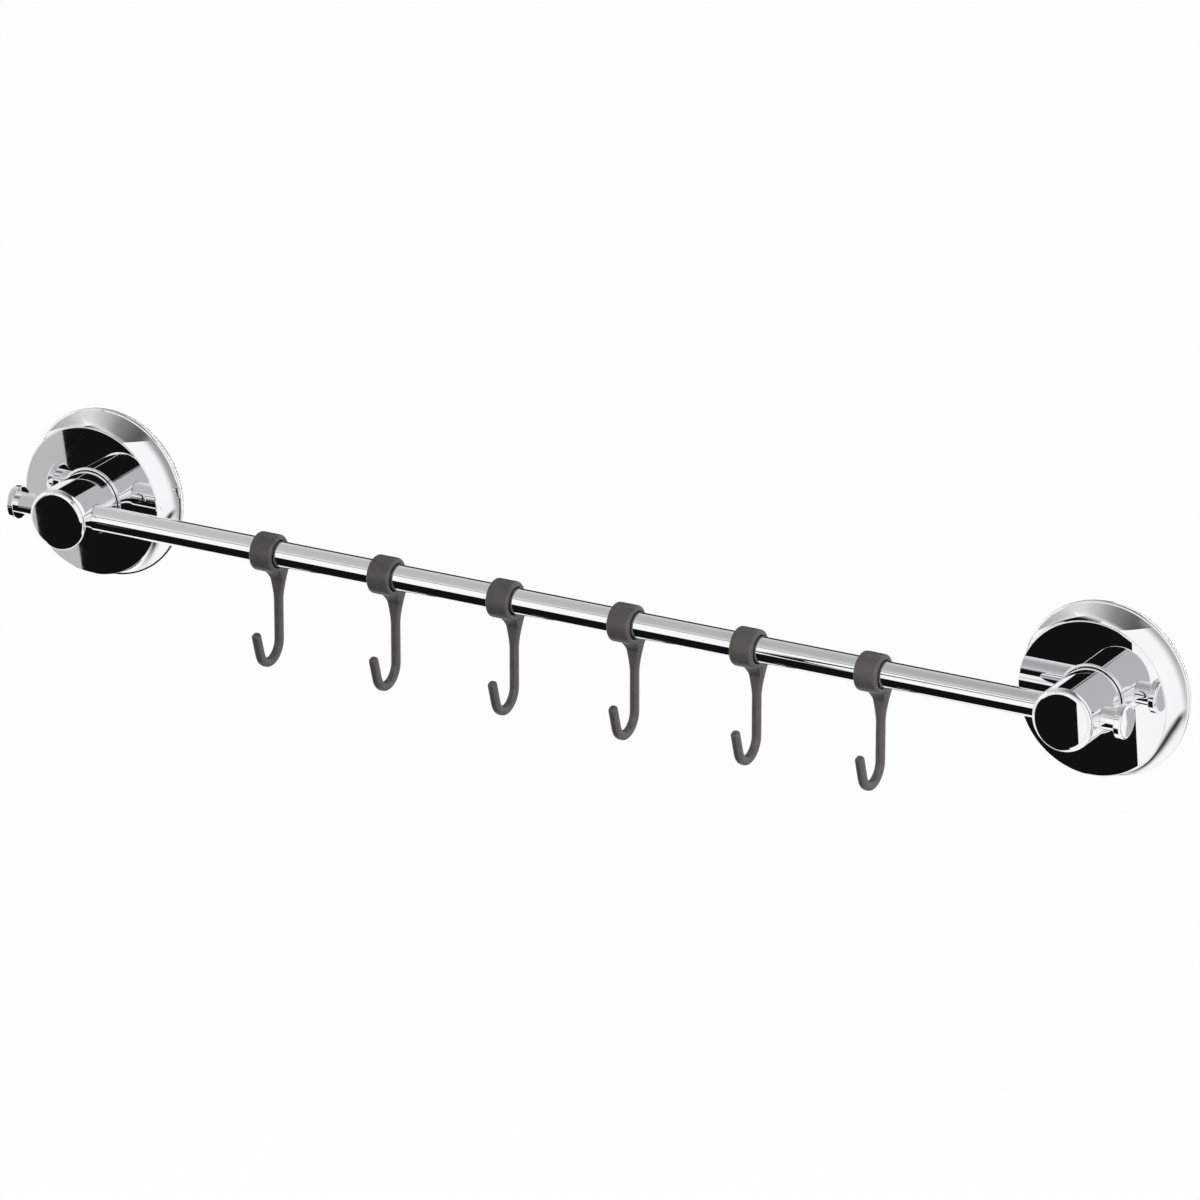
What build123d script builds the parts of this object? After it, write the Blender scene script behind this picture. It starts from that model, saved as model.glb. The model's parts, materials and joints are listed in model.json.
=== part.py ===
from build123d import *
import os

# Suction towel bar: a tube between two posts, each on a suction cup that is clamped by turning a bell.
# The origin is on the bar's axis, midway between the posts. +X runs along the bar, +Y points at the wall,
# and +Z is up. The bar is held in the posts with some play along X, and sits off the middle by bar_offset.

# Bar
bar_diameter = 12.0
bar_wall = 1.0
post_spacing = 514.0
bar_offset = -2.5
socket_clearance = 0.1
static_gap = 0.1

# Posts, each with a socket for the bar in its inner side
post_diameter = 29.4
post_front_cover = 7.0
post_front_round = 2.3
post_outer_wall = 7.0
bar_end_play = 3.0

# Distances along Y: from the back of the bar to the bells' discs, and from there to the wall
bar_to_bell = 11.4
bell_to_wall = 18.1

# Clamp bells
bell_disc_diameter = 71.8
bell_disc_thickness = 2.0
bell_disc_edge_round = 0.5
bell_rim_diameter = 81.1
bell_rim_width = 2.2
bell_rim_round = 0.9
bell_wall_front = 2.1
bell_wall_back = 3.3
bell_shoulder_width = 1.8
bell_running_gap = 0.3
bell_bead_width = 1.2
bell_bead_height = 0.7
bell_boss_wall = 2.6
bell_boss_end_gap = 0.5
bell_rib_count = 6
bell_rib_thickness = 1.6
bell_rib_depth = 4.0
bell_to_cup_gap = 0.3

# Slip rings, pressed on the cups by a shoulder inside the bells
slip_ring_width = 6.2
slip_ring_thickness = 3.0
slip_ring_gap = 0.3

# Suction cups
cup_lip_inset = 0.75
cup_lip_thickness = 2.0
cup_lip_flat_width = 12.8
cup_lip_edge_round = 0.6
cup_hollow_depth = 4.0
cup_roof_thickness = 2.5
cup_collar_wall = 2.4
cup_collar_front = 1.5

# Anchor studs, moulded into the cups
thread_depth = 1.3
thread_clearance = 0.4
stud_flange_overhang = 3.5
stud_flange_thickness = 2.0
stud_front_gap = 1.0

# Bolts that hold the posts on the studs
bolt_diameter = 8.0
bolt_head_flats = 13.0
bolt_head_height = 3.0
bolt_tip_gap = 0.4
bolt_tip_cut = 0.8
bolt_web = 2.0

# Pegs that go through the outer side of the posts, and the plugs in the bar that they screw into
peg_neck_diameter = 10.0
peg_reach = 10.0
peg_head_diameter = 15.4
peg_head_thickness = 3.8
peg_head_round = 1.2
peg_head_back_round = 0.4
peg_shank_diameter = 5.0
peg_shank_end_gap = 2.0
insert_length = 16.0
insert_stand_out = 0.5

# Hooks
hook_count = 6
hook_pitch = 61.9
hook_row_offset = 4.2
hook_ring_clearance = 0.5
hook_rest_gap = 0.3
hook_ring_wall = 2.5
hook_ring_length = 11.6
hook_ring_cut = 0.9
hook_bore_cut = 0.3
hook_stem_width = 3.8
hook_stem_depth = 4.2
hook_stem_inset = 0.9
hook_corner_cut = 0.8
hook_fan_length = 16.3
hook_fan_end_inset = 0.5
hook_fan_power = 1.4
hook_root_depth = 4.9
hook_drop = 55.3
hook_bend_radius = 8.7
hook_bend_turn = 163.0
hook_tip_length = 11.6
hook_tip_cut = 0.7

# Sections of a hook's fan, each as its share of the fan's length and of the root's depth
hook_fan_sections = ((0, 0), (0.2, 0), (0.4, 0), (0.62, 0), (0.75, 0.28), (0.88, 0.64), (1, 1))

# Places that several pieces share
bar_radius = bar_diameter / 2
post_radius = post_diameter / 2
post_x = post_spacing / 2
post_side_x = post_x + post_radius
socket_end_x = post_side_x - post_outer_wall
bar_end_x = socket_end_x - bar_end_play
insert_end_x = bar_end_x + insert_stand_out
bell_front_y = bar_radius + bar_to_bell
wall_y = bell_front_y + bell_to_wall
cup_back_y = wall_y - cup_lip_thickness
rim_back_y = cup_back_y - bell_to_cup_gap
shoulder_y = cup_back_y - slip_ring_thickness
disc_back_y = bell_front_y + bell_disc_thickness
stud_front_y = disc_back_y + stud_front_gap
hollow_roof_y = wall_y - cup_hollow_depth
flange_back_y = hollow_roof_y - cup_roof_thickness
flange_front_y = flange_back_y - stud_flange_thickness
collar_front_y = flange_front_y - cup_collar_front
post_hole_radius = post_radius + bell_running_gap
stem_radius = post_radius + thread_depth
flange_radius = stem_radius + stud_flange_overhang
boss_bore_radius = stem_radius + thread_clearance
boss_radius = boss_bore_radius + bell_boss_wall
rim_radius = bell_rim_diameter / 2
disc_radius = bell_disc_diameter / 2
ring_seat_radius = rim_radius - bell_wall_back
slip_ring_outer = ring_seat_radius - slip_ring_gap
slip_ring_inner = slip_ring_outer - slip_ring_width
bolt_radius = bolt_diameter / 2
bolt_hole_radius = bolt_radius + static_gap
bolt_hole_end_y = bar_radius + socket_clearance + bolt_web
bolt_seat_y = flange_back_y - bolt_head_height
peg_neck_radius = peg_neck_diameter / 2
shank_hole_radius = peg_shank_diameter / 2 + static_gap
insert_start_x = insert_end_x - insert_length


def turned(outline):
    """A solid of revolution about Y, from lines whose X is the radius and whose Y points at the wall."""
    return revolve(make_face(outline), Axis.Y)


def along_x(radius, start, end):
    """A round bar along X from one place to another."""
    return Pos((start + end) / 2, 0, 0) * Rot(0, 90, 0) * Cylinder(radius, end - start)


def along_y(radius, start, end):
    """A round bar along Y from one place to another."""
    return Pos(0, (start + end) / 2, 0) * Rot(90, 0, 0) * Cylinder(radius, end - start)


def bar():
    """The tube, open at both ends."""
    tube = along_x(bar_radius, -bar_end_x, bar_end_x)
    return tube - along_x(bar_radius - bar_wall, -bar_end_x, bar_end_x)


def bar_end_insert():
    """A threaded plug that stands a little out of the tube's right end."""
    plug = along_x(bar_radius - bar_wall - static_gap, insert_start_x, insert_end_x)
    return plug - along_x(shank_hole_radius, insert_start_x, insert_end_x)


def post():
    """The right post: turned along Y, with a rounded front edge, and bored for the bar, peg and bolt."""
    front_y = -bar_radius - post_front_cover
    body = along_y(post_radius, front_y, stud_front_y)
    body = fillet(body.edges().group_by(Axis.Y)[0], post_front_round)
    body -= along_y(bolt_hole_radius, bolt_hole_end_y, stud_front_y)
    socket = along_x(bar_radius + socket_clearance, post_x - post_radius, socket_end_x)
    peg_hole = along_x(peg_neck_radius + static_gap, socket_end_x, post_side_x)
    return Pos(post_x, 0, 0) * body - socket - peg_hole


def peg():
    """The right peg: a round head on a neck that meets the bar's plug, and a shank that screws into it."""
    head_x = post_side_x + peg_reach
    head = along_x(peg_head_diameter / 2, head_x, head_x + peg_head_thickness)
    head = fillet(head.edges().group_by(Axis.X)[-1], peg_head_round)
    head = fillet(head.edges().group_by(Axis.X)[0], peg_head_back_round)
    neck = along_x(peg_neck_radius, insert_end_x, head_x)
    shank = along_x(peg_shank_diameter / 2, insert_start_x + peg_shank_end_gap, insert_end_x)
    return head + neck + shank


def bell_outline():
    """The bell's section: bead, disc, flared skirt and rounded rim outside, shoulder and boss inside."""
    bead_out = post_hole_radius + bell_bead_width
    bead_top = (post_hole_radius + bell_bead_width / 2, bell_front_y - bell_bead_height)
    disc_edge = (disc_radius - bell_disc_edge_round, bell_front_y)
    flare_start = (disc_radius, bell_front_y + bell_disc_edge_round)
    rim_front_y = rim_back_y - bell_rim_width
    flare_end = (rim_radius - bell_rim_round, rim_front_y)
    rim_front = (rim_radius, rim_front_y + bell_rim_round)
    rim_back = (rim_radius, rim_back_y - bell_rim_round)
    rim_end = (rim_radius - bell_rim_round, rim_back_y)
    boss_back_y = collar_front_y - bell_boss_end_gap
    return [
        ThreePointArc((post_hole_radius, bell_front_y), bead_top, (bead_out, bell_front_y)),
        Line((bead_out, bell_front_y), disc_edge),
        TangentArc(disc_edge, flare_start, tangent=(1, 0)),
        TangentArc(flare_start, flare_end, tangent=(0, 1)),
        TangentArc(flare_end, rim_front, tangent=(1, 0)),
        Line(rim_front, rim_back),
        TangentArc(rim_back, rim_end, tangent=(0, 1)),
        Polyline(
            rim_end,
            (ring_seat_radius, rim_back_y),
            (ring_seat_radius, shoulder_y),
            (ring_seat_radius - bell_shoulder_width, shoulder_y),
            (disc_radius - bell_wall_front, disc_back_y),
            (boss_radius, disc_back_y),
            (boss_radius, boss_back_y),
            (boss_bore_radius, boss_back_y),
            (boss_bore_radius, disc_back_y),
            (post_hole_radius, disc_back_y),
            (post_hole_radius, bell_front_y),
        ),
    ]


def clamp_bell():
    """The right bell, with ribs behind its disc that run from the boss to the skirt."""
    rib_start = boss_radius - bell_boss_wall / 2
    rib_end = disc_radius - bell_wall_front / 2
    rib = Box(rib_end - rib_start, bell_rib_depth, bell_rib_thickness)
    rib = Pos((rib_start + rib_end) / 2, disc_back_y + bell_rib_depth / 2, 0) * rib
    bell = turned(bell_outline())
    for index in range(bell_rib_count):
        bell += Rot(0, 360 / bell_rib_count * index, 0) * rib
    return Pos(post_x, 0, 0) * bell


def slip_ring():
    """The right slip ring."""
    ring = along_y(slip_ring_outer, shoulder_y, cup_back_y)
    return Pos(post_x, 0, 0) * (ring - along_y(slip_ring_inner, shoulder_y, cup_back_y))


def suction_cup():
    """The right cup: a flat lip at the wall, a dished hollow, and a collar round the stud's flange."""
    lip_radius = rim_radius - cup_lip_inset
    lip_inner = lip_radius - cup_lip_flat_width
    pocket_radius = flange_radius + static_gap
    collar_radius = pocket_radius + cup_collar_wall
    neck_radius = stem_radius + static_gap
    lip_back = (lip_radius - cup_lip_edge_round, cup_back_y)
    lip_side_back = (lip_radius, cup_back_y + cup_lip_edge_round)
    lip_side_front = (lip_radius, wall_y - cup_lip_edge_round)
    lip_face = (lip_radius - cup_lip_edge_round, wall_y)
    outline = [
        TangentArc((0, hollow_roof_y), (lip_inner, wall_y), tangent=(1, 0)),
        Line((lip_inner, wall_y), lip_face),
        TangentArc(lip_face, lip_side_front, tangent=(1, 0)),
        Line(lip_side_front, lip_side_back),
        TangentArc(lip_side_back, lip_back, tangent=(0, -1)),
        Polyline(
            lip_back,
            (slip_ring_inner, cup_back_y),
            (collar_radius, flange_back_y),
            (collar_radius, collar_front_y),
            (neck_radius, collar_front_y),
            (neck_radius, flange_front_y),
            (pocket_radius, flange_front_y),
            (pocket_radius, flange_back_y),
            (0, flange_back_y),
            (0, hollow_roof_y),
        ),
    ]
    return Pos(post_x, 0, 0) * turned(outline)


def bolt_hexagon(clearance):
    """The bolt's head, or with a clearance on each flat, the pocket for it."""
    flats_radius = bolt_head_flats / 2 + clearance
    hexagon = Plane.XZ * RegularPolygon(flats_radius, 6, major_radius=False)
    return Pos(0, flange_back_y, 0) * extrude(hexagon, bolt_head_height)


def anchor_stud():
    """The right stud: a threaded stem on a flange, with a hexagon pocket in its back."""
    body = along_y(stem_radius, stud_front_y, flange_front_y)
    body += along_y(flange_radius, flange_front_y, flange_back_y)
    body -= along_y(bolt_hole_radius, stud_front_y, bolt_seat_y)
    return Pos(post_x, 0, 0) * (body - bolt_hexagon(static_gap))


def post_bolt():
    """The right bolt: its head in the stud's pocket, its shank in the post."""
    shank = along_y(bolt_radius, bolt_hole_end_y + bolt_tip_gap, bolt_seat_y)
    shank = chamfer(shank.edges().group_by(Axis.Y)[0], bolt_tip_cut)
    return Pos(post_x, 0, 0) * (shank + bolt_hexagon(0))


def stem_section(width, depth):
    """A rectangle with cut corners, the section of a hook's stem."""
    rectangle = Rectangle(width, depth)
    return chamfer(rectangle.vertices(), hook_corner_cut)


def hook():
    """One hook round the X axis: a ring, a stem that fans out into the ring's back, and the bend below."""
    bore_radius = bar_radius + hook_ring_clearance
    ring_radius = bore_radius + hook_ring_wall
    half_length = hook_ring_length / 2
    ring_outline = Polyline(
        (hook_bore_cut - half_length, bore_radius),
        (-half_length, bore_radius + hook_bore_cut),
        (-half_length, ring_radius - hook_ring_cut),
        (hook_ring_cut - half_length, ring_radius),
        (half_length - hook_ring_cut, ring_radius),
        (half_length, ring_radius - hook_ring_cut),
        (half_length, bore_radius + hook_bore_cut),
        (half_length - hook_bore_cut, bore_radius),
        close=True,
    )
    ring = revolve(make_face(ring_outline), Axis.X)

    stem_y = ring_radius - hook_stem_inset
    stem_back_y = stem_y + hook_stem_depth / 2
    fan_width = hook_ring_length - 2 * hook_fan_end_inset
    fan_bottom_z = -ring_radius - hook_fan_length
    sections = []
    for length_share, root_share in hook_fan_sections:
        width = hook_stem_width + (fan_width - hook_stem_width) * length_share**hook_fan_power
        depth = hook_stem_depth + hook_root_depth * root_share
        place = Pos(0, stem_back_y - depth / 2, fan_bottom_z + hook_fan_length * length_share)
        sections.append(place * stem_section(width, depth))
    root_front_y = stem_back_y - hook_stem_depth - hook_root_depth
    top_depth = bore_radius + hook_ring_wall / 2 - root_front_y
    top_section = stem_section(fan_width, top_depth)
    sections.append(Pos(0, root_front_y + top_depth / 2, -hook_ring_wall) * top_section)
    fan = loft(sections, ruled=True)

    bend_z = -hook_drop + hook_stem_depth / 2 + hook_bend_radius
    drop = Line((stem_y, fan_bottom_z), (stem_y, bend_z))
    bend = JernArc((stem_y, bend_z), (0, -1), hook_bend_radius, -hook_bend_turn)
    tip = Line(bend @ 1, bend @ 1 + bend % 1 * hook_tip_length)
    path = Plane.YZ * (drop + bend + tip)
    start = Plane((0, stem_y, fan_bottom_z), x_dir=(1, 0, 0), z_dir=(0, 0, -1))
    stem = sweep(start * stem_section(hook_stem_width, hook_stem_depth), path)
    stem = chamfer(stem.faces().sort_by_distance(path @ 1)[0].edges(), hook_tip_cut)

    return ring + (fan + stem - along_x(bore_radius, -half_length, half_length))


os.makedirs("parts", exist_ok=True)
export_step(Pos(bar_offset, 0, 0) * bar(), "parts/bar.step")

bar_pieces = {
    "peg": peg(),
    "bar_end_insert": bar_end_insert(),
}
for name, piece in bar_pieces.items():
    export_step(Pos(bar_offset, 0, 0) * piece, f"parts/{name}_right.step")
    export_step(Pos(bar_offset, 0, 0) * mirror(piece, about=Plane.YZ), f"parts/{name}_left.step")

side_pieces = {
    "post": post(),
    "clamp_bell": clamp_bell(),
    "slip_ring": slip_ring(),
    "suction_cup": suction_cup(),
    "anchor_stud": anchor_stud(),
    "post_bolt": post_bolt(),
}
for name, piece in side_pieces.items():
    export_step(piece, f"parts/{name}_right.step")
    export_step(mirror(piece, about=Plane.YZ), f"parts/{name}_left.step")

hanging_hook = Pos(0, 0, hook_rest_gap - hook_ring_clearance) * hook()
for index in range(hook_count):
    hook_x = hook_row_offset + hook_pitch * (index - (hook_count - 1) / 2)
    export_step(Pos(hook_x, 0, 0) * hanging_hook, f"parts/hook_{index + 1}.step")
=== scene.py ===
# %% [markdown]
# # A suction towel bar, finished for its picture
# The object is a chromed tube between two posts. Each post stands on a bell that clamps a suction cup to
# the wall, and six moulded hooks slide on the tube. The CAD model gives every shape and place, so this
# lesson adds what CAD leaves out: the finishes, the softened edges of the mouldings, the light, and the
# things that chrome mirrors. Everything is in metres: X runs along the tube, Y goes to the wall, Z is
# up.

# %% Load the model
import bpy
import json
from math import cos, pi, radians, sin
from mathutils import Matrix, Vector

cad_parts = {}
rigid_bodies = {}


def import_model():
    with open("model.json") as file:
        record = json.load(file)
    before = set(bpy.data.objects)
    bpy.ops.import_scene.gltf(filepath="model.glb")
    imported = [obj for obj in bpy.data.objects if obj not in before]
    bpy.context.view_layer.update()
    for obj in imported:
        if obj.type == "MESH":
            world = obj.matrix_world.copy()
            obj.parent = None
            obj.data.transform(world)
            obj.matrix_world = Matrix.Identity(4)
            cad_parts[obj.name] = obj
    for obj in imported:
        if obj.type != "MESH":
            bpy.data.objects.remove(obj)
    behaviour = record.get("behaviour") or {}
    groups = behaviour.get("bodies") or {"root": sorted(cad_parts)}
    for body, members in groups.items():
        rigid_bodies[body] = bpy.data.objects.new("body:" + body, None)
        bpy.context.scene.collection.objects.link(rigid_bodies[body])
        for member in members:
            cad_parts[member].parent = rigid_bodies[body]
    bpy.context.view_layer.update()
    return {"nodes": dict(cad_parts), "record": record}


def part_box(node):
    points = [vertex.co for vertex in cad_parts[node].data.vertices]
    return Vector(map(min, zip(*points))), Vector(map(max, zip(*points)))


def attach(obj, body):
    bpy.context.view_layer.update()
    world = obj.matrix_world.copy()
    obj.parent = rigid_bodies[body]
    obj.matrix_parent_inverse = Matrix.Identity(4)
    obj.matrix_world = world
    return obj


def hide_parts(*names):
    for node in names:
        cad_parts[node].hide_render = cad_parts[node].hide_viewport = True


for leftover in list(bpy.data.objects):
    bpy.data.objects.remove(leftover)
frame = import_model()

# %% [markdown]
# ## The camera
# The photograph was taken from far away with a long lens, from the right and a little above, so the
# bells at the two ends look nearly the same size. A short lens close by would fit the frame too, but it
# would stretch the near end.

# %% Camera
scene = bpy.context.scene
scene.view_settings.view_transform = "Standard"
camera_data = bpy.data.cameras.new("picture_camera")
camera_data.lens = 255.41
camera_data.sensor_width = 36.0
camera_data.clip_end = 60.0
camera = bpy.data.objects.new("picture_camera", camera_data)
camera.location = (1.74049, -3.10242, 1.36368)
line_of_sight = Vector((-0.452644, 0.817124, -0.356963))
camera.rotation_euler = line_of_sight.to_track_quat("-Z", "Y").to_euler()
scene.collection.objects.link(camera)
scene.camera = camera
print("camera stands", round(camera.location.length, 2), "m from the middle of the bar")

# %% [markdown]
# ## Room and floor
# Chrome has no colour of its own: it shows the room. Here the room is white wherever a camera, mirror or
# glass ray ends in it, and a softer white where it only lights things, so that a pale surface keeps its
# shade. The floor is as far below as under a bar on a bathroom wall. It keeps a share of real shading,
# so that the shadow falls on it.


# %% Room and floor
def add_seen_ray(tree):
    """1 for rays that show the surface itself: straight to the camera, in a mirror or through glass."""
    path = tree.nodes.new("ShaderNodeLightPath")
    mirrored = tree.nodes.new("ShaderNodeMath")
    mirrored.operation = "ADD"
    tree.links.new(path.outputs["Is Camera Ray"], mirrored.inputs[0])
    tree.links.new(path.outputs["Is Glossy Ray"], mirrored.inputs[1])
    through = tree.nodes.new("ShaderNodeMath")
    through.operation = "ADD"
    through.use_clamp = True
    tree.links.new(mirrored.outputs[0], through.inputs[0])
    tree.links.new(path.outputs["Is Transmission Ray"], through.inputs[1])
    return through.outputs[0]


room = bpy.data.worlds.new("white_room")
room.use_nodes = True
scene.world = room
room_tree = room.node_tree
room_tree.nodes.clear()
room_light = room_tree.nodes.new("ShaderNodeBackground")
room_light.inputs["Color"].default_value = (1.0, 1.0, 1.0, 1.0)
room_light.inputs["Strength"].default_value = 0.40
room_seen = room_tree.nodes.new("ShaderNodeBackground")
room_seen.inputs["Color"].default_value = (1.0, 1.0, 1.0, 1.0)
room_seen.inputs["Strength"].default_value = 1.0
room_choice = room_tree.nodes.new("ShaderNodeMixShader")
room_out = room_tree.nodes.new("ShaderNodeOutputWorld")
room_tree.links.new(add_seen_ray(room_tree), room_choice.inputs[0])
room_tree.links.new(room_light.outputs[0], room_choice.inputs[1])
room_tree.links.new(room_seen.outputs[0], room_choice.inputs[2])
room_tree.links.new(room_choice.outputs[0], room_out.inputs["Surface"])


def make_panel(name, corners, faces=None):
    """A sheet from its corners in order, or from faces that number them, as a new object in the scene."""
    sheet = bpy.data.meshes.new(name)
    sheet.from_pydata(corners, [], faces or [tuple(range(len(corners)))])
    panel = bpy.data.objects.new(name, sheet)
    scene.collection.objects.link(panel)
    return panel


floor_height = -1.65
floor_reach = 9.0
floor_corners = [(-floor_reach, -floor_reach), (floor_reach, -floor_reach), (floor_reach, floor_reach),
                 (-floor_reach, floor_reach)]
floor = make_panel("floor", [(x, y, floor_height) for x, y in floor_corners])
floor_paint = bpy.data.materials.new("pale_floor")
floor_paint.use_nodes = True
floor_tree = floor_paint.node_tree
floor_tree.nodes.clear()
floor_shade = floor_tree.nodes.new("ShaderNodeBsdfDiffuse")
floor_shade.inputs["Color"].default_value = (0.9, 0.9, 0.9, 1.0)
floor_white = floor_tree.nodes.new("ShaderNodeEmission")
floor_white.inputs["Strength"].default_value = 1.0
floor_share = floor_tree.nodes.new("ShaderNodeMath")
floor_share.operation = "MULTIPLY"
floor_share.inputs[1].default_value = 0.97
floor_mix = floor_tree.nodes.new("ShaderNodeMixShader")
floor_out = floor_tree.nodes.new("ShaderNodeOutputMaterial")
floor_tree.links.new(add_seen_ray(floor_tree), floor_share.inputs[0])
floor_tree.links.new(floor_share.outputs[0], floor_mix.inputs[0])
floor_tree.links.new(floor_shade.outputs[0], floor_mix.inputs[1])
floor_tree.links.new(floor_white.outputs[0], floor_mix.inputs[2])
floor_tree.links.new(floor_mix.outputs[0], floor_out.inputs["Surface"])
floor.data.materials.append(floor_paint)
print("floor at", floor_height, "m")

# %% [markdown]
# ## Lamps
# In the photograph the hooks grow lighter towards the right, so the main soft box stands close by at the
# right. A weak one at the upper left fills the shadows, and one behind lights the cups for a view from
# the wall's side. Mirror rays don't see them, because what the chrome shows is set by the cards in the
# next step.


# %% Soft boxes
def add_soft_box(name, place, width, watts):
    lamp = bpy.data.lights.new(name, "AREA")
    lamp.shape = "SQUARE"
    lamp.size = width
    lamp.energy = watts
    box = bpy.data.objects.new(name, lamp)
    box.location = place
    box.rotation_euler = (-Vector(place)).to_track_quat("-Z", "Y").to_euler()
    box.visible_glossy = False
    scene.collection.objects.link(box)
    return box


soft_boxes = [add_soft_box("soft_box_left", (-1.3, -1.5, 2.2), 1.4, 5.0),
              add_soft_box("soft_box_right", (0.80, -0.62, 0.36), 0.5, 17.0),
              add_soft_box("soft_box_back", (-0.9, 2.2, 0.9), 1.2, 30.0)]
print("soft boxes:", [(box.name, box.data.energy) for box in soft_boxes])

# %% [markdown]
# ## What the chrome mirrors
# A product photographer hangs black flags and grey cards round shiny metal, out of the picture, and
# their mirror images draw its shape: a black band along the tube, a black half on each bell. A
# painted-on gradient would be simpler, but it would not follow the metal when the view changes. Each
# card is a sheet that only mirror rays can see.


# %% Helpers for flags and cards
def start_card(name, corners, faces=None):
    """A sheet that only mirrors can see, with a glow on it that has no colour yet."""
    card = make_panel(name, corners, faces)
    for kind in ("camera", "diffuse", "transmission", "volume_scatter", "shadow"):
        setattr(card, "visible_" + kind, False)
    face = bpy.data.materials.new(name)
    face.use_nodes = True
    tree = face.node_tree
    tree.nodes.clear()
    card.data.materials.append(face)
    glow = tree.nodes.new("ShaderNodeEmission")
    out = tree.nodes.new("ShaderNodeOutputMaterial")
    tree.links.new(glow.outputs[0], out.inputs["Surface"])
    return card, tree, glow, out


def add_card(name, corners, brightness, faces=None):
    """A card of one brightness."""
    card, _, glow, _ = start_card(name, corners, faces)
    glow.inputs["Color"].default_value = (brightness, brightness, brightness, 1.0)
    return card


def add_strip(name, first_row, second_row, brightness):
    """A card between two rows of points, for flags that bend."""
    count = len(first_row)
    faces = [(n, n + 1, count + n + 1, count + n) for n in range(count - 1)]
    return add_card(name, [*first_row, *second_row], brightness, faces)


def fade_card(tree, glow, out, cover):
    """Lets the room show through a card where its cover is less than 1."""
    clear = tree.nodes.new("ShaderNodeBsdfTransparent")
    mix = tree.nodes.new("ShaderNodeMixShader")
    tree.links.new(cover, mix.inputs[0])
    tree.links.new(clear.outputs[0], mix.inputs[1])
    tree.links.new(glow.outputs[0], mix.inputs[2])
    tree.links.new(mix.outputs[0], out.inputs["Surface"])


def add_shaded_card(name, corners, axis, stops, fade=None):
    """A card whose brightness runs along X, Y or Z through the stops.

    Each stop is a place in metres and a brightness. A fade is an axis, the place where the card begins to
    thin out, and the place where it is gone."""
    card, tree, glow, out = start_card(name, corners)
    place = tree.nodes.new("ShaderNodeTexCoord")
    split = tree.nodes.new("ShaderNodeSeparateXYZ")
    tree.links.new(place.outputs["Object"], split.inputs[0])
    first, last = stops[0][0], stops[-1][0]
    share = tree.nodes.new("ShaderNodeMapRange")
    share.inputs["From Min"].default_value = first
    share.inputs["From Max"].default_value = last
    tree.links.new(split.outputs[axis], share.inputs["Value"])
    ramp = tree.nodes.new("ShaderNodeValToRGB")
    while len(ramp.color_ramp.elements) < len(stops):
        ramp.color_ramp.elements.new(0.5)
    for element, (where, brightness) in zip(ramp.color_ramp.elements, stops):
        element.position = (where - first) / (last - first)
        element.color = (brightness, brightness, brightness, 1.0)
    tree.links.new(share.outputs["Result"], ramp.inputs["Fac"])
    tree.links.new(ramp.outputs["Color"], glow.inputs["Color"])
    if fade:
        cover = tree.nodes.new("ShaderNodeMapRange")
        cover.interpolation_type = "SMOOTHSTEP"
        cover.inputs["From Min"].default_value = fade[1]
        cover.inputs["From Max"].default_value = fade[2]
        cover.inputs["To Min"].default_value = 1.0
        cover.inputs["To Max"].default_value = 0.0
        tree.links.new(split.outputs[fade[0]], cover.inputs["Value"])
        fade_card(tree, glow, out, cover.outputs["Result"])
    return card


def add_soft_band(name, path, across, brightness):
    """A card along a path that fades out to both sides, which lie one "across" away, and to both ends."""
    rows = [row / 4 for row in range(-4, 5)]
    points = [Vector(middle) + Vector(across) * row for row in rows for middle in path]
    count = len(path)
    faces = [(row * count + n, row * count + n + 1, (row + 1) * count + n + 1, (row + 1) * count + n)
             for row in range(len(rows) - 1) for n in range(count - 1)]
    card, tree, glow, out = start_card(name, points, faces)
    glow.inputs["Color"].default_value = (brightness, brightness, brightness, 1.0)
    cover = card.data.attributes.new("cover", "FLOAT", "POINT")
    for row_number, row in enumerate(rows):
        for n in range(1, count - 1):
            cover.data[row_number * count + n].value = (1 + cos(pi * row)) / 2
    reader = tree.nodes.new("ShaderNodeAttribute")
    reader.attribute_name = "cover"
    fade_card(tree, glow, out, reader.outputs["Fac"])
    return card


# %% [markdown]
# The large black flag stands low in front, and its two upright edges are the straight lines across the
# bells and the posts' faces. A grey card beside it lightens the left bell, a second black sheet runs
# from its foot to under the tube for the tube's dark lower half, and one far behind draws the dark line
# along its top. Large cards at a distance are chosen, as in a real studio: small ones close to the metal
# would show as odd marks from any other side.

# %% Large flags and card
axis_x, axis_y, axis_z = range(3)
black, grey = 0.006, 0.51
flag_left_top, flag_left_foot = (-2.4237, -3.1778, -0.680), (-2.2220, -3.0731, -1.600)
flag_right_top, flag_right_foot = (0.1388, -0.2742, -0.095), (0.1468, -0.3045, -0.400)
card_left_top, card_left_foot = (-3.6237, -2.5898, -0.680), (-3.4220, -2.4851, -1.600)
large_cards = [
    add_card("front_flag", [flag_left_top, flag_left_foot, flag_right_foot, flag_right_top], black),
    add_card("left_card", [flag_left_top, flag_left_foot, card_left_foot, card_left_top], grey),
    add_card("low_flag", [flag_left_foot, flag_right_foot, (0.0725, 0.040, -0.400), (-1.300, 0.160, -1.600),
                          (-2.400, -2.950, -1.600)], black, [(0, 1, 2), (0, 2, 3), (0, 3, 4)]),
    add_shaded_card("back_flag", [(-4.7, 6.0, -1.6), (-2.2, 6.0, -1.6), (-2.2, 6.0, 5.6), (-4.7, 6.0, 5.6)],
                    axis_z, [(-1.6, black), (5.6, black)], fade=(axis_z, 2.3, 5.6)),
]
print("large cards:", len(large_cards))

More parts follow.
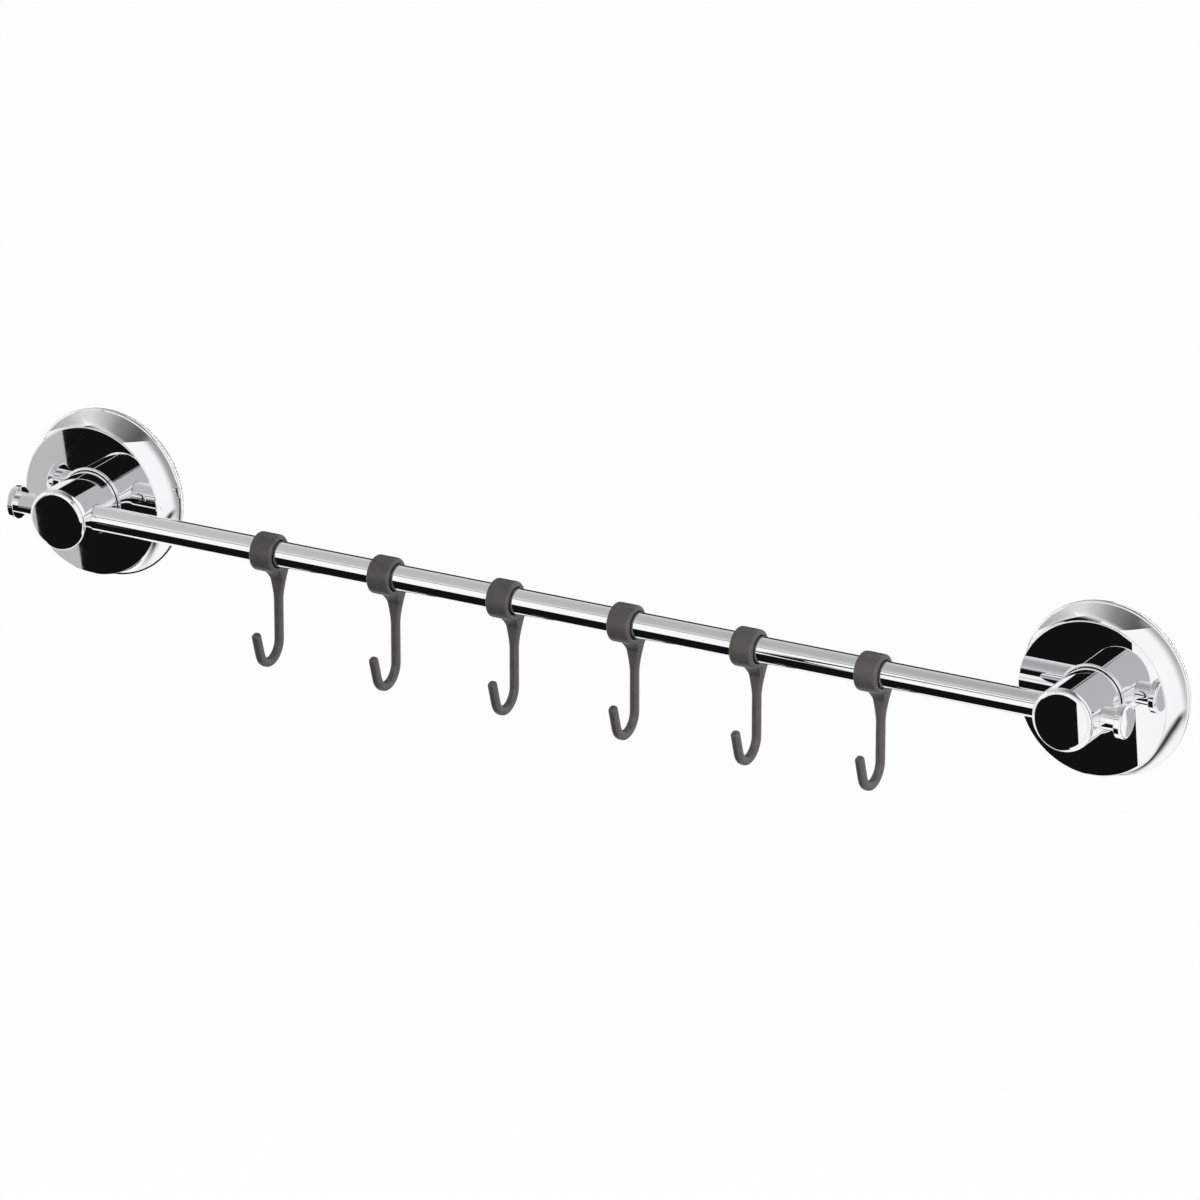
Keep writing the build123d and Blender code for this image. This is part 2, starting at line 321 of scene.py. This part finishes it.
# %% [markdown]
# The posts get a black top and a grey right side from arcs that hang 0.8 m in front. An arc is as wide
# as the fan of mirror rays that leaves a post; its inner ring shows in the bell's disc and its outer
# ring on the post itself. A narrow hoop greys the left peg, and a small card far at the right greys half
# of the right peg's end.

# %% Arcs for the posts, a hoop and a card for the pegs
post_middle = (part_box("post_right")[0][0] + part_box("post_right")[1][0]) / 2
arc_distance = 0.8
hoop_radius = 0.85
left_rings, right_rings = (0.615, 0.652, 0.690), (0.508, 0.5415, 0.580)


def arc(middle, radius, first_angle, last_angle):
    """Points on an arc in front of a post, in degrees from its right side upwards."""
    steps = 24
    angles = [radians(first_angle + (last_angle - first_angle) * step / steps) for step in range(steps + 1)]
    return [(middle + radius * cos(angle), -arc_distance, radius * sin(angle)) for angle in angles]


def add_arc(name, middle, rings, first_angle, last_angle, brightness):
    """A card between two rings."""
    inner, outer = [arc(middle, radius, first_angle, last_angle) for radius in rings]
    return add_strip(name, inner, outer, brightness)


def hoop(x):
    """Points on a wide hoop round the tube's line, from below the front to past straight above."""
    angles = [radians(angle) for angle in range(-10, 101, 5)]
    return [(x, -hoop_radius * cos(angle), hoop_radius * sin(angle)) for angle in angles]


arcs_and_peg_cards = [
    add_arc("left_grey_inner", -post_middle, left_rings[:2], -60, 53, grey),
    add_arc("left_grey_outer", -post_middle, left_rings[1:], -60, 75, grey),
    add_arc("left_black_inner", -post_middle, left_rings[:2], 53, 200, black),
    add_arc("left_black_outer", -post_middle, left_rings[1:], 75, 144, black),
    add_arc("right_grey_inner", post_middle, right_rings[:2], -60, 113, grey),
    add_arc("right_grey_outer", post_middle, right_rings[1:], -60, 113, grey),
    add_arc("right_black_inner", post_middle, right_rings[:2], 113, 200, black),
    add_arc("right_black_outer", post_middle, right_rings[1:], 113, 161, black),
    add_strip("left_peg_hoop", hoop(-0.8015), hoop(-0.7735), grey),
    add_card("right_peg_card", [(0.679, 0.8339, -0.4005), (0.679, 0.900, -0.4005), (0.679, 0.900, -0.3405),
                                (0.679, 0.8487, -0.3405)], grey),
]
print("arcs and peg cards:", len(arcs_and_peg_cards))

# %% [markdown]
# The sides of the bells look up and back, into a wide sheet overhead that fades from dark at its right
# edge to pale at the left. It is far away, so both bells show it alike. An arch at the right greys the
# bells' lips, and a band low at the back gives their dark lower right. These two have soft sides: a hard
# edge would draw a shape on the curve.

# %% Sheets overhead and round about
arch_angles = [radians(angle) for angle in range(-45, 76, 10)]
arch_radius = 2.2
arch_path = [(arch_radius * cos(angle), -0.2, arch_radius * sin(angle)) for angle in arch_angles]
low_height = -1.2
low_places = [(-0.7, 1.0), (0.0, 1.26), (0.36, 1.32), (1.08, 1.14), (2.04, 0.72), (2.9, 0.2)]
low_path = [(x, y, low_height) for x, y in low_places]
sky_height = 6.0
sky_corners = [(-12.0, -3.6), (4.6, -3.6), (0.84, 5.4), (-0.9, 9.6), (-12.0, 9.6)]
sky_front_corners = [(-12.0, -9.6), (7.0, -9.6), (4.6, -3.6), (-12.0, -3.6)]
left_wall = -6.0
left_corners = [(1.2, -0.6), (9.6, -0.6), (9.6, 3.9), (1.2, 3.9)]
back_fade = (axis_y, 5.0, 9.6)
far_sheets = [
    add_shaded_card("sky_sheet", [(x, y, sky_height) for x, y in sky_corners], axis_x,
                    [(-6.0, 0.73), (-3.0, 0.49), (-1.2, 0.26), (1.5, 0.11)], back_fade),
    add_shaded_card("sky_sheet_front", [(x, y, sky_height) for x, y in sky_front_corners], axis_y,
                    [(-9.6, 1.0), (-3.6, 0.50)]),
    add_shaded_card("left_back_sheet", [(left_wall, y, z) for y, z in left_corners], axis_z,
                    [(-0.6, 0.42), (2.0, 0.55), (3.9, 0.73)], back_fade),
    add_soft_band("right_arch", arch_path, (0.0, 0.8, 0.0), 0.34),
    add_soft_band("low_back_band", low_path, (0.0, 0.6, 0.0), 0.01),
]
print("far sheets:", len(far_sheets))

# %% [markdown]
# ## Rounded hooks and cups
# A mould has no perfectly sharp corners, so the real hooks have round edges and tips that catch a line
# of light, and the soft cups have round lips. The model has flat bevels there. Each of these pieces is
# rebuilt from small even cells and then relaxed, which rounds it by about half a millimetre; a bevel
# would need cleaner edges than a meshed solid has.

# %% Rounded hooks and cups
body_of = {node: body for body, nodes in frame["record"]["behaviour"]["bodies"].items() for node in nodes}
slot_of = {entry["node"]: entry["material_slot"] for entry in frame["record"]["subparts"]}
cell_size = {"grey_plastic": 0.0004, "clear_vinyl": 0.0006}
shown = dict(frame["nodes"])
for name, slot in slot_of.items():
    if slot in cell_size:
        rounded = bpy.data.objects.new("rounded_" + name, frame["nodes"][name].data.copy())
        scene.collection.objects.link(rounded)
        cells = rounded.modifiers.new("even_cells", "REMESH")
        cells.mode = "VOXEL"
        cells.voxel_size = cell_size[slot]
        cells.use_smooth_shade = True
        relax = rounded.modifiers.new("relax", "SMOOTH")
        relax.factor = 0.5
        relax.iterations = 12
        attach(rounded, body_of[name])
        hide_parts(name)
        shown[name] = rounded
print("rounded:", sorted(piece.name for piece in shown.values() if piece.name.startswith("rounded")))

# %% [markdown]
# ## Chrome plate
# Bells, posts and pegs are plastic under copper, nickel and a bright chrome skin. It is nearly a mirror;
# what tells it from one is a faint unevenness of the polish. Noise in the tone and the roughness gives
# that, where a plain metal of one roughness would look like a computer's idea of chrome.


# %% Helpers for the finishes
def start_finish(name):
    finish = bpy.data.materials.new(name)
    finish.use_nodes = True
    tree = finish.node_tree
    place = tree.nodes.new("ShaderNodeTexCoord")
    return finish, tree, tree.nodes["Principled BSDF"], place.outputs["Object"]


def add_noise(tree, place, per_metre, detail=3.0):
    noise = tree.nodes.new("ShaderNodeTexNoise")
    noise.inputs["Scale"].default_value = per_metre
    noise.inputs["Detail"].default_value = detail
    tree.links.new(place, noise.inputs["Vector"])
    return noise.outputs["Fac"]


noise_low, noise_high = 0.3, 0.7


def add_colours(tree, amount, dark, light):
    ramp = tree.nodes.new("ShaderNodeValToRGB")
    ramp.color_ramp.elements[0].position = noise_low
    ramp.color_ramp.elements[0].color = (*dark, 1.0)
    ramp.color_ramp.elements[1].position = noise_high
    ramp.color_ramp.elements[1].color = (*light, 1.0)
    tree.links.new(amount, ramp.inputs["Fac"])
    return ramp.outputs["Color"]


def add_range(tree, amount, low, high):
    spread = tree.nodes.new("ShaderNodeMapRange")
    spread.inputs["From Min"].default_value = noise_low
    spread.inputs["From Max"].default_value = noise_high
    spread.inputs["To Min"].default_value = low
    spread.inputs["To Max"].default_value = high
    tree.links.new(amount, spread.inputs["Value"])
    return spread.outputs["Result"]


def add_relief(tree, shader, amount, depth, strength):
    relief = tree.nodes.new("ShaderNodeBump")
    relief.inputs["Distance"].default_value = depth
    relief.inputs["Strength"].default_value = strength
    tree.links.new(amount, relief.inputs["Height"])
    tree.links.new(relief.outputs["Normal"], shader.inputs["Normal"])


# %% Chrome plate
bright_plate, tree, shader, place = start_finish("bright_plate")
shader.inputs["Metallic"].default_value = 1.0
plate_tone = add_noise(tree, place, 30.0)
tree.links.new(add_colours(tree, plate_tone, (0.905, 0.912, 0.920), (0.945, 0.948, 0.952)),
               shader.inputs["Base Color"])
plate_haze = add_noise(tree, place, 420.0)
tree.links.new(add_range(tree, plate_haze, 0.004, 0.012), shader.inputs["Roughness"])
print("finish:", bright_plate.name)

# %% [markdown]
# ## The drawn tube
# The tube was drawn through a die and polished along its length before plating, so its faint lines run
# along X. The same noise as before, squeezed along the tube, turns grain into lines; a shader that
# stretches highlights would blur the mirror too.


# %% Chrome tube
def squeeze(tree, place, scale):
    mapping = tree.nodes.new("ShaderNodeMapping")
    mapping.inputs["Scale"].default_value = scale
    tree.links.new(place, mapping.inputs["Vector"])
    return mapping.outputs["Vector"]


drawn_tube, tree, shader, place = start_finish("drawn_tube")
shader.inputs["Metallic"].default_value = 1.0
along_tube = squeeze(tree, place, (0.01, 1.0, 1.0))
draw_lines = add_noise(tree, along_tube, 1600.0, 2.0)
tree.links.new(add_colours(tree, draw_lines, (0.915, 0.920, 0.926), (0.940, 0.944, 0.948)),
               shader.inputs["Base Color"])
tree.links.new(add_range(tree, draw_lines, 0.010, 0.030), shader.inputs["Roughness"])
print("finish:", drawn_tube.name)

# %% [markdown]
# ## Grey moulded plastic
# The hooks are dark grey plastic from a mould with a fine spark-eroded grain. The grain spreads the
# highlight to a satin sheen. A grain of a third of a millimetre is too fine to model, so it is a bump,
# with a little mottling in the colour from the pigment.

# %% Grey plastic
satin_grey, tree, shader, place = start_finish("satin_grey")
pigment = add_noise(tree, place, 260.0)
tree.links.new(add_colours(tree, pigment, (0.040, 0.039, 0.038), (0.051, 0.049, 0.047)),
               shader.inputs["Base Color"])
grain = add_noise(tree, place, 3200.0, 2.0)
tree.links.new(add_range(tree, grain, 0.36, 0.50), shader.inputs["Roughness"])
add_relief(tree, shader, grain, 0.00004, 0.15)
print("finish:", satin_grey.name)

# %% [markdown]
# ## Clear vinyl
# The cups are soft clear vinyl, a little cloudy, so that the stud shows through as a soft shape. A half
# see-through mix would look like thin film, so rough transmission is used: it bends what lies behind, as
# the thick lip does.

# %% Clear vinyl
cloudy_vinyl, tree, shader, place = start_finish("cloudy_vinyl")
shader.inputs["Transmission Weight"].default_value = 0.9
shader.inputs["IOR"].default_value = 1.46
cloud = add_noise(tree, place, 140.0)
tree.links.new(add_colours(tree, cloud, (0.86, 0.89, 0.89), (0.93, 0.95, 0.95)),
               shader.inputs["Base Color"])
tree.links.new(add_range(tree, cloud, 0.10, 0.20), shader.inputs["Roughness"])
print("finish:", cloudy_vinyl.name)

# %% [markdown]
# ## White plastic
# Studs and slip rings are plain white mouldings, seen through the vinyl from the wall's side. Flat white
# would look like paper there, so they get a slight mottle and a fine grain.

# %% White plastic
white_moulding, tree, shader, place = start_finish("white_moulding")
mottle = add_noise(tree, place, 180.0)
tree.links.new(add_colours(tree, mottle, (0.76, 0.76, 0.74), (0.81, 0.81, 0.79)),
               shader.inputs["Base Color"])
tree.links.new(add_range(tree, mottle, 0.32, 0.44), shader.inputs["Roughness"])
add_relief(tree, shader, add_noise(tree, place, 2400.0, 2.0), 0.00003, 0.25)
print("finish:", white_moulding.name)

# %% [markdown]
# ## Zinc-plated steel
# The bolts, and the plugs in the tube's ends, are zinc-plated. Plating grows in small crystals, so its
# tone and roughness change in patches. Turned rings could be added, but these pieces hardly show.

# %% Zinc-plated steel
zinc_steel, tree, shader, place = start_finish("zinc_steel")
shader.inputs["Metallic"].default_value = 1.0
zinc_tone = add_noise(tree, place, 240.0)
tree.links.new(add_colours(tree, zinc_tone, (0.52, 0.53, 0.54), (0.64, 0.65, 0.66)),
               shader.inputs["Base Color"])
tree.links.new(add_range(tree, zinc_tone, 0.24, 0.38), shader.inputs["Roughness"])
add_relief(tree, shader, add_noise(tree, place, 1800.0, 2.0), 0.00003, 0.3)
print("finish:", zinc_steel.name)

# %% [markdown]
# ## Dressing the pieces
# The record says which finish each piece of the model takes, so the pieces are dressed from it in one
# loop. Naming each of the 23 pieces here would be longer, and easier to get wrong.

# %% Finishes onto pieces
finish_of = {"chrome": bright_plate, "chrome_tube": drawn_tube, "grey_plastic": satin_grey,
             "clear_vinyl": cloudy_vinyl, "white_plastic": white_moulding, "steel": zinc_steel}
for name, slot in slot_of.items():
    for holder in shown[name].material_slots:
        holder.material = finish_of[slot]
print("dressed:", sum(len(piece.material_slots) > 0 for piece in shown.values()))
